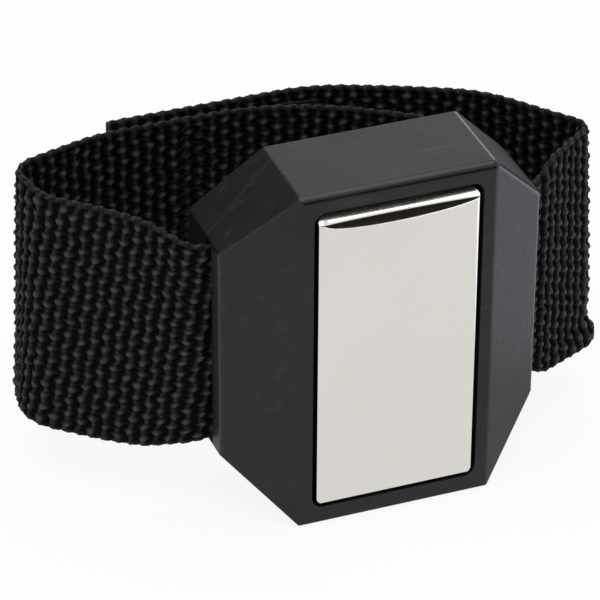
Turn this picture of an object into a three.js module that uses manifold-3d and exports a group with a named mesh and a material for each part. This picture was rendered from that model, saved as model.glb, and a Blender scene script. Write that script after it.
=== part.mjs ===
// A magnetic wristband: a moulded housing with a steel face plate over two block magnets, worn on a loop
// of woven webbing that closes on itself with hook and loop tape. Millimetres, +Z up. The magnet face looks
// along -Y, and the origin is the centre of the housing's flat bottom face, on which the band stands.

import * as THREE from 'three';
import { ConvexGeometry } from 'three/addons/geometries/ConvexGeometry.js';
import { mergeVertices } from 'three/addons/utils/BufferGeometryUtils.js';
import Module from 'manifold-3d';

// Fits
const fit = 0.3; // beside a piece that slides or drops into its place
const stackGap = 0.1; // between flat faces that are pressed together
const seamGap = 0.1; // between the shell and its cover

// Face plate
const plateWidth = 25;
const plateHeight = 50;
const plateThickness = 1.2;
const plateCorner = 1.2; // corner radius in front view
const plateBend = 2; // outer radius of the bent top and bottom edges
const plateProud = 0.2; // how far the plate stands in front of the housing
const windowGap = 0.65; // all round the plate

// Housing
const sideRim = 2; // face beside the window
const endRim = 2.85; // face above and below the window
const cheekWidth = 10.1; // each sloped cheek, in front view
const cheekDepth = 6.85;
const bodyDepth = 15.9;
const coverDepth = 3.5; // from the seam to the back
const wingReach = 4.4; // how far the back's sloped sides reach behind its flat middle
const shellWall = 1.8;
const edgeRadius = 0.5;
const pocketWall = 1.4; // walls beside the magnets

// Magnets and keeper
const magnetCorner = 0.8;
const magnetGap = 0.4; // between the two magnets
const keeperThickness = 1.2;

// Back cover
const ribThickness = 1.2;
const ribSpacing = 9; // between the ribs that the strap lies against
const lipReach = 1.6; // how far the locating lip enters the shell
const lipThickness = 1.2;

// Cover screws
const screwOut = 1; // screw axis beyond the edge of the flat face
const screwUp = 3.5; // screw axis beyond the strap slot
const screwLength = 9; // under the head
const shankDiameter = 2.2;
const tipLength = 1.4;
const headDiameter = 4;
const headHeight = 1.5;
const headSink = 0.4; // head below the cover's back
const driveWidth = 0.7;
const driveReach = 2.4;
const driveDepth = 0.8;
const bossDiameter = 4.8;

// Webbing
const strapWidth = 38.5;
const strapThickness = 1.4;
const strapPinch = 4.5; // how much the slots squeeze the webbing's width
const pinchRun = 9; // run over which the webbing spreads to its full width
const slotSlack = 1.1; // slot opening beyond the webbing's thickness
const slotEnds = 0.5; // slot beyond each edge of the squeezed webbing
const leftFlare = 1.9; // lower edge further out, and upper edge further in, at the left bend
const rightFlare = 0.9; // the same at the right bend
const flareRun = 18; // run over which the webbing takes on that lean
const bendGap = 0.3; // between two stretches of webbing
const stationStep = 1.2;

// Wrist loop, along the middle of the webbing
const leftReach = 21.3; // beyond the left side wall
const rightReach = 16; // beyond the right side wall
const loopDepth = 32.3; // from the slots to the back of the inner layer
const leftLead = 2.7; // from the left wall to where the strap turns back
const rightLead = 1.7; // from the right wall to where the strap turns back
const slotRadius = 5;
const leftDrop = 4.2; // left end below the back of the loop
const leftEnd = 10.8; // straight end of the loop
const leftUpperRadius = 5;
const leftLowerRadius = 8;
const shoulderX = 31;
const shoulderRadius = 30;
const crownX = 1.6;
const crownRadius = 45;
const innerEndX = 17;
const innerEndDrop = 11.5; // inner end below the back of the loop
const rightRise = 10.1; // right bend behind the slots
const rightRadius = 3.3;
const rightShoulderX = 29;
const rightShoulderDrop = 10.3; // below the back of the outer layer
const rightShoulderRadius = 22;
const outerCrownX = 4;
const outerCrownRadius = 30;
const flapEndX = 29;
const flapLength = 36; // from the free end to the hinge of the flap

// Closure tapes
const hookThickness = 0.5;
const loopThickness = 0.5;
const tapeGap = 0.15; // beside each tape
const tapeMargin = 2; // inside the webbing's edges and ends
const loopLength = 44;

// Sizes that follow from those above
const windowWidth = plateWidth + 2 * windowGap;
const windowHeight = plateHeight + 2 * windowGap;
const faceWidth = windowWidth + 2 * sideRim;
const bodyHeight = windowHeight + 2 * endRim;
const bodyWidth = faceWidth + 2 * cheekWidth;
const neckWidth = strapWidth - strapPinch;
const slotHeight = neckWidth + 2 * slotEnds;
const slotDepth = strapThickness + slotSlack;
const wallX = bodyWidth / 2;
const midZ = bodyHeight / 2;
const frontY = -bodyDepth / 2;
const backY = bodyDepth / 2;
const seamY = backY - coverDepth;
const channelY = seamY - slotDepth / 2;
const plateFrontY = frontY - plateProud;
const magnetFrontY = plateFrontY + plateThickness + stackGap;
const keeperBackY = channelY - strapThickness / 2 - fit;
const keeperFrontY = keeperBackY - keeperThickness;
const magnetBackY = keeperFrontY - stackGap;
const stackWidth = plateWidth - 2 * fit;
const stackHeight = plateHeight - 2 * plateBend;
const layerStep = strapThickness + hookThickness + loopThickness + 3 * tapeGap;
const screwX = faceWidth / 2 + screwOut;
const screwZ = slotHeight / 2 + screwUp;
const seatY = backY - headSink - headHeight;
const tipY = seatY - screwLength;
const wingY = backY + wingReach;
const overshoot = bodyDepth; // how far a cutting tool runs past what it cuts

const wasm = await Module();
wasm.setup();

const point = (x, y) => new THREE.Vector2(x, y);

// Solids

// A closed geometry as a solid that can be joined and cut.
function solidOf(geometry) {
  const bare = new THREE.BufferGeometry();
  bare.setAttribute('position', geometry.getAttribute('position'));
  bare.setIndex(geometry.index);
  const merged = mergeVertices(bare);
  return new wasm.Manifold(
    new wasm.Mesh({
      numProp: 3,
      vertProperties: new Float32Array(merged.getAttribute('position').array),
      triVerts: new Uint32Array(merged.index.array),
    }),
  );
}

function geometryOf(solid) {
  const mesh = solid.getMesh();
  const geometry = new THREE.BufferGeometry();
  geometry.setAttribute('position', new THREE.BufferAttribute(mesh.vertProperties, 3));
  geometry.setIndex(new THREE.BufferAttribute(mesh.triVerts, 1));
  geometry.computeVertexNormals();
  return geometry;
}

const joined = (solids) => solids.reduce((whole, next) => whole.add(next));

// A block between two corners, given as [x, y, z].
function block(low, high) {
  const [x, y, z] = low.map((value, axis) => high[axis] - value);
  const geometry = new THREE.BoxGeometry(x, y, z);
  geometry.translate(low[0] + x / 2, low[1] + y / 2, low[2] + z / 2);
  return solidOf(geometry);
}

// A round bar along Y.
function bar(diameter, x, z, fromY, toY) {
  const geometry = new THREE.CylinderGeometry(diameter / 2, diameter / 2, toY - fromY, 24);
  geometry.translate(x, (fromY + toY) / 2, z);
  return solidOf(geometry);
}

const extruded = (shape, depth) =>
  new THREE.ExtrudeGeometry(shape, { depth, bevelEnabled: false, curveSegments: 6 });

// A front view outline, in x and z from mid height, extruded along Y.
function frontPrism(shape, fromY, toY) {
  const geometry = extruded(shape, toY - fromY);
  geometry.rotateX(Math.PI / 2);
  geometry.translate(0, toY, midZ);
  return solidOf(geometry);
}

// A side view outline, in y and z from mid height, extruded along X about the middle.
function sidePrism(shape, width) {
  const geometry = extruded(shape, width);
  geometry.applyMatrix4(
    new THREE.Matrix4().makeBasis(
      new THREE.Vector3(0, 1, 0),
      new THREE.Vector3(0, 0, 1),
      new THREE.Vector3(1, 0, 0),
    ),
  );
  geometry.translate(-width / 2, 0, midZ);
  return solidOf(geometry);
}

function roundedRectangle(width, height, radius, middle = 0) {
  const x = width / 2 - radius;
  const z = height / 2 - radius;
  const shape = new THREE.Shape();
  shape.absarc(x, middle - z, radius, -Math.PI / 2, 0);
  shape.absarc(x, middle + z, radius, 0, Math.PI / 2);
  shape.absarc(-x, middle + z, radius, Math.PI / 2, Math.PI);
  shape.absarc(-x, middle - z, radius, Math.PI, 1.5 * Math.PI);
  return shape;
}

// Housing form

// The corner b of a counter-clockwise outline, between a and c, moved in from both of its edges.
function mitre(a, b, c, inset) {
  const before = b.clone().sub(a).normalize();
  const after = c.clone().sub(b).normalize();
  const turn = before.cross(after);
  return b.clone().addScaledVector(after.sub(before), inset / turn);
}

// The octagon's upper right corners in front view, and the cheek's rear corner in plan, all moved in by
// a distance.
function housingProfile(inset) {
  const lowerSide = point(wallX, -slotHeight / 2);
  const upperSide = point(wallX, slotHeight / 2);
  const rightTop = point(faceWidth / 2, bodyHeight / 2);
  const leftTop = point(-faceWidth / 2, bodyHeight / 2);
  const cheekFront = point(faceWidth / 2, frontY);
  const cheekRear = point(wallX, frontY + cheekDepth);
  return {
    top: mitre(upperSide, rightTop, leftTop, inset),
    side: mitre(lowerSide, upperSide, rightTop, inset),
    cheek: mitre(cheekFront, cheekRear, point(wallX, backY), inset),
  };
}

// The corners of the housing before its back is hollowed for the wrist, moved in by a distance.
function housingCorners(inset) {
  const { top, side, cheek } = housingProfile(inset);
  const corners = [];
  for (const across of [-1, 1]) {
    for (const up of [-1, 1]) {
      corners.push(new THREE.Vector3(across * top.x, frontY + inset, midZ + up * top.y));
      corners.push(new THREE.Vector3(across * top.x, wingY - inset, midZ + up * top.y));
      corners.push(new THREE.Vector3(across * side.x, cheek.y, midZ + up * side.y));
      corners.push(new THREE.Vector3(across * side.x, wingY - inset, midZ + up * side.y));
    }
  }
  return corners;
}

// The housing before its back is hollowed, with every edge rounded: the hull of a ball in each corner.
function roundedBlank() {
  const ball = new THREE.SphereGeometry(edgeRadius, 16, 8).getAttribute('position');
  const points = [];
  for (const corner of housingCorners(edgeRadius)) {
    for (let i = 0; i < ball.count; i += 1) {
      points.push(new THREE.Vector3().fromBufferAttribute(ball, i).add(corner));
    }
  }
  return solidOf(new ConvexGeometry(points));
}

// Space for the wrist behind the housing, flat in the middle and sloped along both wings, grown by a
// distance.
function wristHollow(growth) {
  const runs = overshoot / cheekWidth;
  const inner = point(faceWidth / 2, backY);
  const slope = point(runs * cheekWidth, runs * wingReach);
  const corner = mitre(point(-faceWidth / 2, backY), inner, inner.clone().add(slope), -growth);
  const far = corner.clone().add(slope);
  const plan = new THREE.Shape([point(-corner.x, corner.y), corner, far, point(-far.x, far.y)]);
  const geometry = extruded(plan, bodyHeight + 2 * overshoot);
  geometry.translate(0, 0, -overshoot);
  return solidOf(geometry);
}

function octagon(inset) {
  const { top, side } = housingProfile(inset);
  return new THREE.Shape([
    point(side.x, -side.y),
    point(side.x, side.y),
    point(top.x, top.y),
    point(-top.x, top.y),
    point(-side.x, side.y),
    point(-side.x, -side.y),
    point(-top.x, -top.y),
    point(top.x, -top.y),
  ]);
}

const screwPlaces = [
  [-screwX, midZ + screwZ],
  [screwX, midZ + screwZ],
  [-screwX, midZ - screwZ],
  [screwX, midZ - screwZ],
];

const barsAtScrews = (diameter, fromY, toY) =>
  joined(screwPlaces.map(([x, z]) => bar(diameter, x, z, fromY, toY)));

const housing = roundedBlank().subtract(wristHollow(0));
const cavity = solidOf(new ConvexGeometry(housingCorners(shellWall))).subtract(wristHollow(shellWall));

// Space that the strap takes through the housing, from wall to wall.
function strapSlot() {
  return block(
    [-wallX - overshoot, channelY - slotDepth / 2, midZ - slotHeight / 2],
    [wallX + overshoot, seamY + overshoot, midZ + slotHeight / 2],
  );
}

// Housing pieces

function frontShell() {
  const inFrontOfSeam = block([-wallX, frontY, 0], [wallX, seamY, bodyHeight]);
  const walls = housing.intersect(inFrontOfSeam);
  const pocketX = windowWidth / 2;
  const pocketY = frontY + shellWall / 2;
  const pocketWalls = [-1, 1].map((across) =>
    block(
      [Math.min(across * pocketX, across * (pocketX + pocketWall)), pocketY, midZ - stackHeight / 2],
      [Math.max(across * pocketX, across * (pocketX + pocketWall)), keeperFrontY, midZ + stackHeight / 2],
    ),
  );
  const bosses = barsAtScrews(bossDiameter, frontY, seamY).intersect(walls);
  const window = frontPrism(
    roundedRectangle(windowWidth, windowHeight, plateCorner + windowGap),
    frontY - overshoot,
    frontY + shellWall + fit,
  );
  return joined([walls.subtract(cavity), ...pocketWalls, bosses])
    .subtract(window)
    .subtract(strapSlot())
    .subtract(barsAtScrews(shankDiameter + fit, tipY - fit, seamY + overshoot));
}

function backCover() {
  const behindSeam = block([-wallX, seamY + seamGap, 0], [wallX, wingY, bodyHeight]);
  const walls = housing.intersect(behindSeam);
  const floorY = backY - shellWall / 2;
  const posts = barsAtScrews(bossDiameter, seamY + seamGap, wingY).intersect(walls);
  const ribs = [];
  for (const place of [-1, 0, 1]) {
    const z = midZ + place * ribSpacing;
    ribs.push(
      block(
        [-stackWidth / 2, channelY + strapThickness / 2 + fit, z - ribThickness / 2],
        [stackWidth / 2, floorY, z + ribThickness / 2],
      ),
    );
  }
  // Ribs that press the keeper on to the magnets, above and below the strap.
  for (const up of [-1, 1]) {
    const z = midZ + (up * (slotHeight + stackHeight)) / 4;
    ribs.push(
      block(
        [-stackWidth / 2 + bossDiameter / 2, keeperBackY + stackGap, z - ribThickness / 2],
        [stackWidth / 2 - bossDiameter / 2, floorY, z + ribThickness / 2],
      ),
    );
  }
  // Lip that enters the shell along its top and bottom, cut away for the strap and the bosses.
  const inside = frontPrism(octagon(shellWall + fit + lipThickness), frontY, backY);
  const lip = frontPrism(octagon(shellWall + fit), seamY - lipReach, floorY)
    .add(frontPrism(octagon(shellWall - fit), seamY + seamGap, floorY))
    .subtract(inside)
    .subtract(strapSlot())
    .subtract(barsAtScrews(bossDiameter + 2 * fit, frontY, seamY + seamGap));
  return joined([walls.subtract(cavity), posts, lip, ...ribs])
    .subtract(barsAtScrews(shankDiameter + 2 * fit, frontY, backY + overshoot))
    .subtract(barsAtScrews(headDiameter + 2 * fit, seatY, backY + overshoot));
}

// Steel plate with its top and bottom bent back and turned out behind the window's rim.
function facePlate() {
  const z = plateHeight / 2;
  const lipFrontY = Math.max(plateFrontY + plateBend, frontY + shellWall + fit);
  const lipBackY = lipFrontY + plateThickness;
  const lipZ = housingProfile(shellWall).top.y - fit;
  const bendY = plateFrontY + plateBend;
  const bendZ = z - plateBend;
  const innerBend = plateBend - plateThickness;
  const profile = new THREE.Shape();
  profile.moveTo(lipBackY, -z);
  profile.lineTo(lipBackY, -z + plateThickness);
  profile.absarc(bendY, -bendZ, innerBend, 1.5 * Math.PI, Math.PI, true);
  profile.absarc(bendY, bendZ, innerBend, Math.PI, Math.PI / 2, true);
  profile.lineTo(lipBackY, z - plateThickness);
  profile.lineTo(lipBackY, z);
  profile.absarc(bendY, bendZ, plateBend, Math.PI / 2, Math.PI);
  profile.absarc(bendY, -bendZ, plateBend, Math.PI, 1.5 * Math.PI);
  const outline = roundedRectangle(plateWidth, plateHeight, plateCorner);
  const blank = frontPrism(outline, plateFrontY - overshoot, lipBackY);
  const plate = sidePrism(profile, plateWidth).intersect(blank);
  const lipX = plateWidth / 2 - plateCorner;
  const lips = [-1, 1].map((up) => {
    const inner = midZ + up * (z - plateThickness);
    const outer = midZ + up * lipZ;
    return block([-lipX, lipFrontY, Math.min(inner, outer)], [lipX, lipBackY, Math.max(inner, outer)]);
  });
  return joined([plate, ...lips]);
}

function magnet(up) {
  const height = (stackHeight - magnetGap) / 2;
  const middle = (up * (height + magnetGap)) / 2;
  return frontPrism(roundedRectangle(stackWidth, height, magnetCorner, middle), magnetFrontY, magnetBackY);
}

const keeperPlate = () =>
  frontPrism(roundedRectangle(stackWidth, stackHeight, plateCorner), keeperFrontY, keeperBackY);

// Self-tapping screw along Y, its head to the back, with a cross recess.
function coverScrew(x, z) {
  const shank = shankDiameter / 2;
  const head = headDiameter / 2;
  const profile = [
    point(0, tipY),
    point(shank, tipY + tipLength),
    point(shank, seatY),
    point(head, seatY),
    point(head, seatY + headHeight / 2),
    point(head / 2, seatY + headHeight),
    point(0, seatY + headHeight),
  ];
  const body = new THREE.LatheGeometry(profile, 24);
  body.translate(x, 0, z);
  const recess = [
    [driveReach, driveWidth],
    [driveWidth, driveReach],
  ].map(([wide, tall]) =>
    block(
      [x - wide / 2, seatY + headHeight - driveDepth, z - tall / 2],
      [x + wide / 2, seatY + headHeight + overshoot, z + tall / 2],
    ),
  );
  return solidOf(body).subtract(joined(recess));
}

// Webbing

// The middle line of the strap in plan, from its inner end round the wrist and through the housing to its
// free end: straight runs joined by arcs, all turning left. Each arc's start and end are kept as lengths
// along the line.
function strapRoute() {
  const loopBackY = channelY + loopDepth;
  const outerY = loopBackY + layerStep;
  const leftX = -wallX - leftReach;
  const rightShoulder = point(rightShoulderX, outerY - rightShoulderDrop);
  const corners = [
    { name: 'crown', at: point(-crownX, loopBackY), radius: crownRadius },
    { name: 'shoulder', at: point(-shoulderX, loopBackY), radius: shoulderRadius },
    { name: 'leftUpper', at: point(leftX, loopBackY - leftDrop), radius: leftUpperRadius },
    { name: 'leftLower', at: point(leftX, loopBackY - leftDrop - leftEnd), radius: leftLowerRadius },
    { name: 'leftSlot', at: point(-wallX - leftLead, channelY), radius: slotRadius },
    { name: 'rightSlot', at: point(wallX + rightLead, channelY), radius: slotRadius },
    { name: 'rightBend', at: point(wallX + rightReach, channelY + rightRise), radius: rightRadius },
    { name: 'rightShoulder', at: rightShoulder, radius: rightShoulderRadius },
    { name: 'outerCrown', at: point(outerCrownX, outerY), radius: outerCrownRadius },
  ];
  const innerEnd = point(innerEndX, loopBackY - innerEndDrop);
  const freeEnd = point(-flapEndX, outerY);
  const stops = [innerEnd, ...corners.map((corner) => corner.at), freeEnd];
  const line = new THREE.Path();
  line.moveTo(innerEnd.x, innerEnd.y);
  const arcs = {};
  corners.forEach(({ name, at, radius }, i) => {
    const before = at.clone().sub(stops[i]).normalize();
    const after = stops[i + 2].clone().sub(at).normalize();
    const turn = Math.acos(before.dot(after));
    const start = at.clone().addScaledVector(before, -radius * Math.tan(turn / 2));
    const centre = point(start.x - before.y * radius, start.y + before.x * radius);
    const startAngle = Math.atan2(start.y - centre.y, start.x - centre.x);
    line.lineTo(start.x, start.y);
    const startLength = line.getLength();
    line.absarc(centre.x, centre.y, radius, startAngle, startAngle + turn);
    arcs[name] = { start: startLength, end: line.getLength() };
  });
  line.lineTo(freeEnd.x, freeEnd.y);
  return { line, arcs, length: line.getLength() };
}

const route = strapRoute();

// Where the strap is at a length along it: its middle, its outward side, and how far it is from the slots.
function strapAt(length) {
  const share = length / route.length;
  const middle = route.line.getPoint(share);
  const along = route.line.getTangent(share);
  const outward = point(along.y, -along.x);
  const rise = middle.y - channelY;
  const fromSlot = Math.hypot(Math.max(0, Math.abs(middle.x) - wallX), rise);
  const spread = THREE.MathUtils.smoothstep(fromSlot, 0, pinchRun);
  const toRight = THREE.MathUtils.smoothstep(middle.x, -wallX, wallX);
  const flare = THREE.MathUtils.lerp(leftFlare, rightFlare, toRight);
  const leaning = THREE.MathUtils.smoothstep(fromSlot, 0, flareRun);
  const lean = flare * leaning * (1 - THREE.MathUtils.smoothstep(rise, loopDepth / 2, loopDepth));
  return { middle, outward, spread, lean };
}

// A closed ribbon lofted along the strap between two lengths. Its middle lies off the strap's by an outward
// distance.
function ribbon(from, to, offset, thickness, width) {
  const steps = Math.ceil((to - from) / stationStep);
  const positions = [];
  const index = [];
  for (let i = 0; i <= steps; i += 1) {
    const { middle, outward, spread, lean } = strapAt(from + ((to - from) * i) / steps);
    const half = THREE.MathUtils.lerp(Math.min(width, neckWidth), width, spread) / 2;
    for (const [side, up] of [[1, -1], [1, 1], [-1, 1], [-1, -1]]) {
      const out = offset + (side * thickness) / 2 - up * lean;
      positions.push(middle.x + outward.x * out, middle.y + outward.y * out, midZ + up * half);
    }
  }
  for (let i = 0; i < steps; i += 1) {
    for (let k = 0; k < 4; k += 1) {
      const near = 4 * i + k;
      const nearNext = 4 * i + ((k + 1) % 4);
      index.push(near, near + 4, nearNext + 4, near, nearNext + 4, nearNext);
    }
  }
  const last = 4 * steps;
  index.push(0, 1, 2, 0, 2, 3, last, last + 2, last + 1, last, last + 3, last + 2);
  const geometry = new THREE.BufferGeometry();
  geometry.setAttribute('position', new THREE.Float32BufferAttribute(positions, 3));
  geometry.setIndex(index);
  geometry.computeVertexNormals();
  return geometry;
}

const strap = (from, to) => ribbon(from, to, 0, strapThickness, strapWidth);

function tape(from, to, side, thickness) {
  const offset = side * (strapThickness / 2 + tapeGap + thickness / 2);
  return ribbon(from, to, offset, thickness, strapWidth - 2 * tapeMargin);
}

// Lengths along the strap at which it hinges.
const hingeLengths = {
  leftBend: (route.arcs.leftUpper.end + route.arcs.leftLower.start) / 2,
  leftSwing: route.arcs.leftSlot.end,
  rightSwing: route.arcs.rightSlot.start,
  rightBend: (route.arcs.rightBend.start + route.arcs.rightBend.end) / 2,
  flapPeel: route.length - flapLength,
};

// A hinge's upright axis in plan. It lies on the outermost edge of the webbing, so that no stretch is
// squeezed when the band is opened.
function hingePoint(length) {
  const { middle, outward, lean } = strapAt(length);
  return middle.addScaledVector(outward, strapThickness / 2 + lean);
}

// Finishes

const finish = (colour, roughness, metalness) =>
  new THREE.MeshStandardMaterial({ color: colour, roughness, metalness });

const blackPlastic = finish(0x2f3231, 0.55, 0);
const polishedSteel = finish(0xd6d3cd, 0.25, 1);
const greySteel = finish(0x8f9092, 0.45, 1);
const ferrite = finish(0x3b3b3e, 0.7, 0.2);
const blackWebbing = finish(0x131314, 0.9, 0);
const blackTape = finish(0x1a1a1b, 1, 0);

// Assembly

const wristband = new THREE.Group();

function place(name, geometry, material) {
  const mesh = new THREE.Mesh(geometry, material);
  mesh.name = name;
  wristband.add(mesh);
}

place('front_shell', geometryOf(frontShell()), blackPlastic);
place('back_cover', geometryOf(backCover()), blackPlastic);
place('face_plate', geometryOf(facePlate()), polishedSteel);
place('magnet_upper', geometryOf(magnet(1)), ferrite);
place('magnet_lower', geometryOf(magnet(-1)), ferrite);
place('keeper_plate', geometryOf(keeperPlate()), greySteel);
screwPlaces.forEach(([x, z], i) => {
  place(`cover_screw_${i + 1}`, geometryOf(coverScrew(x, z)), greySteel);
});

const gap = bendGap / 2;
const { leftBend, leftSwing, rightSwing, rightBend, flapPeel } = hingeLengths;
place('strap_left_back', strap(0, leftBend - gap), blackWebbing);
place('strap_left_arm', strap(leftBend + gap, leftSwing - gap), blackWebbing);
place('strap_centre', strap(leftSwing + gap, rightSwing - gap), blackWebbing);
place('strap_right_arm', strap(rightSwing + gap, rightBend - gap), blackWebbing);
place('strap_right_back', strap(rightBend + gap, flapPeel - gap), blackWebbing);
place('strap_flap', strap(flapPeel + gap, route.length), blackWebbing);
const loopEnd = route.arcs.shoulder.start;
place('loop_tape', tape(loopEnd - loopLength, loopEnd, 1, loopThickness), blackTape);
place('hook_tape', tape(flapPeel + tapeMargin, route.length - tapeMargin, -1, hookThickness), blackTape);

wristband.userData.strapLength = route.length;
wristband.userData.hinges = Object.fromEntries(
  Object.entries(hingeLengths).map(([name, length]) => [name, hingePoint(length)]),
);

export default wristband;
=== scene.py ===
import math

import bmesh
import bpy
import numpy as np
from mathutils import Matrix, Vector


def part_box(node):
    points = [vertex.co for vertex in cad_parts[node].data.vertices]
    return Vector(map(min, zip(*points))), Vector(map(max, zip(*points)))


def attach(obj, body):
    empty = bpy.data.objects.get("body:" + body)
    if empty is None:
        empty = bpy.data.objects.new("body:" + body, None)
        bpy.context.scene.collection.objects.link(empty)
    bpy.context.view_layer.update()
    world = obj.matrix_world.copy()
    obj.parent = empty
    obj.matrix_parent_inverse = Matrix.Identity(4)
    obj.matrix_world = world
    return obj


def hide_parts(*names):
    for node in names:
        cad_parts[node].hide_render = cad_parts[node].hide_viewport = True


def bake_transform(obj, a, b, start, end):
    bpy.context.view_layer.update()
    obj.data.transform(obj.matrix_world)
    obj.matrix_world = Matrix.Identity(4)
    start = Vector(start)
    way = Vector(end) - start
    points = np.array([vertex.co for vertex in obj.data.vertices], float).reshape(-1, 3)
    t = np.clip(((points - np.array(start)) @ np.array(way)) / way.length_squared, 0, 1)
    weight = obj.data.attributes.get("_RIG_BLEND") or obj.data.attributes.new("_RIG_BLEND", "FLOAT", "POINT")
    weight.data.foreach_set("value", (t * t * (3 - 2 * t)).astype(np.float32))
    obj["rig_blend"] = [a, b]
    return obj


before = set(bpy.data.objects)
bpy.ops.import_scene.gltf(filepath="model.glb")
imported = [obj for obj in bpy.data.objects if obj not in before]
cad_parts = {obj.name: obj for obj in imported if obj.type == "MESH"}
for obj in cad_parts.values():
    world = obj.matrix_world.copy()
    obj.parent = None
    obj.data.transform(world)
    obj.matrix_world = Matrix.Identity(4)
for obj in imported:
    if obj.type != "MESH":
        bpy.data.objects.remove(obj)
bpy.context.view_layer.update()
scene = bpy.context.scene
scene.view_settings.view_transform = "Standard"
mm = 0.001
print("frame loaded,", len(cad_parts), "nodes")


def smoothStep(value, low, high):
    share = np.clip((value - low) / (high - low), 0, 1)
    return share * share * (3 - 2 * share)


def addPiece(name, bm, material, sharpAngle=None):
    for face in bm.faces:
        face.smooth = True
    if sharpAngle is not None:
        for edge in bm.edges:
            edge.smooth = edge.calc_face_angle(0) < math.radians(sharpAngle)
    mesh = bpy.data.meshes.new(name)
    bm.to_mesh(mesh)
    bm.free()
    mesh.materials.append(material)
    piece = bpy.data.objects.new(name, mesh)
    scene.collection.objects.link(piece)
    return piece


# node helpers for materials and for the world
def newMaterial(name):
    material = bpy.data.materials.new(name)
    material.use_nodes = True
    return material, material.node_tree.nodes["Principled BSDF"]


def addNode(material, kind, sockets=None, **settings):
    node = material.node_tree.nodes.new(kind)
    for key, value in settings.items():
        setattr(node, key, value)
    for key, value in (sockets or {}).items():
        node.inputs[key].default_value = value
    return node


def link(material, source, output, target, socket):
    material.node_tree.links.new(source.outputs[output], target.inputs[socket])


def ramp(material, source, output, stops):
    node = addNode(material, "ShaderNodeValToRGB")
    elements = node.color_ramp.elements
    while len(elements) < len(stops):
        elements.new(0.5)
    for element, (place, colour) in zip(elements, stops):
        element.position = place
        element.color = (*colour, 1)
    link(material, source, output, node, "Fac")
    return node


def noiseOn(material, coordinates, output, scale, detail=2.0, stretch=(1, 1, 1)):
    mapping = addNode(material, "ShaderNodeMapping", {"Scale": stretch})
    noise = addNode(material, "ShaderNodeTexNoise", {"Scale": scale, "Detail": detail})
    link(material, coordinates, output, mapping, "Vector")
    link(material, mapping, "Vector", noise, "Vector")
    return noise


def bumpFrom(material, shader, source, output, strength, depth):
    bump = addNode(material, "ShaderNodeBump", {"Strength": strength, "Distance": depth})
    link(material, source, output, bump, "Height")
    link(material, bump, "Normal", shader, "Normal")


def grey(level):
    return (level, level, level)


# camera: looks down on the left front of the housing
camera = {
    "yaw": 21.08,
    "pitch": 32.68,
    "roll": 0.387,
    "distance": 586,
    "right": -14.27,
    "up": 6.98,
    "lens": 240,
    "clipStart": 0.01,
}


def addCamera():
    yaw = math.radians(camera["yaw"])
    pitch = math.radians(camera["pitch"])
    right = Vector((math.cos(yaw), -math.sin(yaw), 0))
    level = math.cos(pitch)
    ahead = Vector((math.sin(yaw) * level, math.cos(yaw) * level, -math.sin(pitch)))
    up = right.cross(ahead)
    low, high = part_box("front_shell")
    faceCentre = Vector((0, low.y, (low.z + high.z) / 2))
    shift = right * camera["right"] + up * camera["up"] - ahead * camera["distance"]
    place = faceCentre + shift * mm
    turn = Matrix((right, up, -ahead)).transposed().to_4x4()
    data = bpy.data.cameras.new("camera")
    data.lens = camera["lens"]
    data.clip_start = camera["clipStart"]
    cameraObject = bpy.data.objects.new("camera", data)
    roll = Matrix.Rotation(math.radians(camera["roll"]), 4, "Z")
    cameraObject.matrix_world = Matrix.Translation(place) @ turn @ roll
    scene.collection.objects.link(cameraObject)
    scene.camera = cameraObject


addCamera()
print("camera placed")

# finishes
plastic = {
    "dark": (0.0062, 0.0068, 0.0068),
    "light": (0.0098, 0.0106, 0.0108),
    # lighter colour for real scuffs, also used as the painted highlight along the seam line
    "scuffAndSeamHighlight": (0.022, 0.023, 0.024),
    "roughness": (0.44, 0.56),
    "burnish": 0.27,
    "specular": 0.3,
    "patches": 90,
    "scuffs": 900,
    "scuffStretch": (0.08, 1, 0.5),
    "grain": 5200,
    "bump": (0.25, 0.00003),
}


def mouldedPlastic():
    material, shader = newMaterial("mouldedPlastic")
    place = addNode(material, "ShaderNodeTexCoord")
    patches = noiseOn(material, place, "Object", plastic["patches"], 3)
    colour = ramp(material, patches, "Fac", [(0.3, plastic["dark"]), (0.7, plastic["light"])])
    scuffs = noiseOn(material, place, "Object", plastic["scuffs"], 3, plastic["scuffStretch"])
    worn = ramp(material, scuffs, "Fac", [(0.58, grey(0)), (0.78, grey(1))])
    # painted highlight: the seam line is painted in the lighter scuff colour where the parting line catches
    # light; the random scuffs mixed in with it are real wear
    seam = addNode(material, "ShaderNodeAttribute", attribute_name="seamHighlight")
    scuffsAndSeamHighlight = addNode(material, "ShaderNodeMath", operation="MAXIMUM")
    link(material, worn, "Color", scuffsAndSeamHighlight, 0)
    link(material, seam, "Fac", scuffsAndSeamHighlight, 1)
    mix = addNode(material, "ShaderNodeMixRGB", {"Color2": (*plastic["scuffAndSeamHighlight"], 1)})
    link(material, scuffsAndSeamHighlight, "Value", mix, "Fac")
    link(material, colour, "Color", mix, "Color1")
    link(material, mix, "Color", shader, "Base Color")
    grain = noiseOn(material, place, "Object", plastic["grain"], 2)
    low, high = plastic["roughness"]
    rough = ramp(material, grain, "Fac", [(0.35, grey(low)), (0.65, grey(high))])
    # rounded edges are burnished smooth
    wear = addNode(material, "ShaderNodeAttribute", attribute_name="wear")
    factor = {1: -plastic["burnish"]}
    burnished = addNode(material, "ShaderNodeMath", factor, operation="MULTIPLY_ADD")
    link(material, wear, "Fac", burnished, 0)
    link(material, rough, "Color", burnished, 2)
    link(material, burnished, "Value", shader, "Roughness")
    bumpFrom(material, shader, grain, "Fac", *plastic["bump"])
    shader.inputs["Specular IOR Level"].default_value = plastic["specular"]
    return material


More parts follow.
